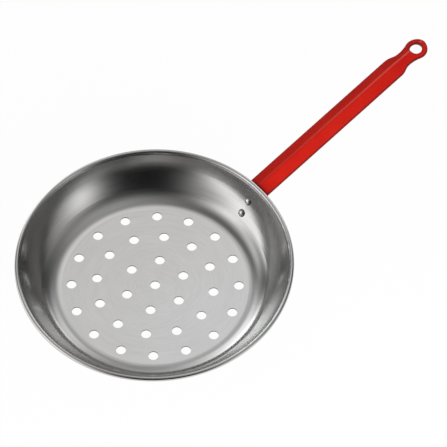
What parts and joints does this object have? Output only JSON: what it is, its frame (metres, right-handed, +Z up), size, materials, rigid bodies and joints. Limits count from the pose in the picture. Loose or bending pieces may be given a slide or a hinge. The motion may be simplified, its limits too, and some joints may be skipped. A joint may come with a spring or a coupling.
{
  "type": "chestnut roasting pan",
  "caption": "Round steel pan with a perforated floor, a rim curled to a bead, and a long painted sheet-steel handle riveted to its wall.",
  "frame": {"origin": "on the pan's axis, in the plane of its underside, where it rests on the hob or the grate", "axes": "+Z up along the pan's axis; +X out along the handle; +Y across the handle"},
  "size_m": [0.5162, 0.28, 0.0794],
  "materials": {
    "pan_steel": "bare satin sheet steel with a fine turned grain",
    "handle_paint": "glossy red paint on pressed sheet steel",
    "rivet_steel": "bright plain steel"
  },
  "bodies": {
    "root": {"pan_body": "pan_steel", "handle": "handle_paint", "rivet_upper": "rivet_steel", "rivet_lower": "rivet_steel"}
  },
  "joints": []
}
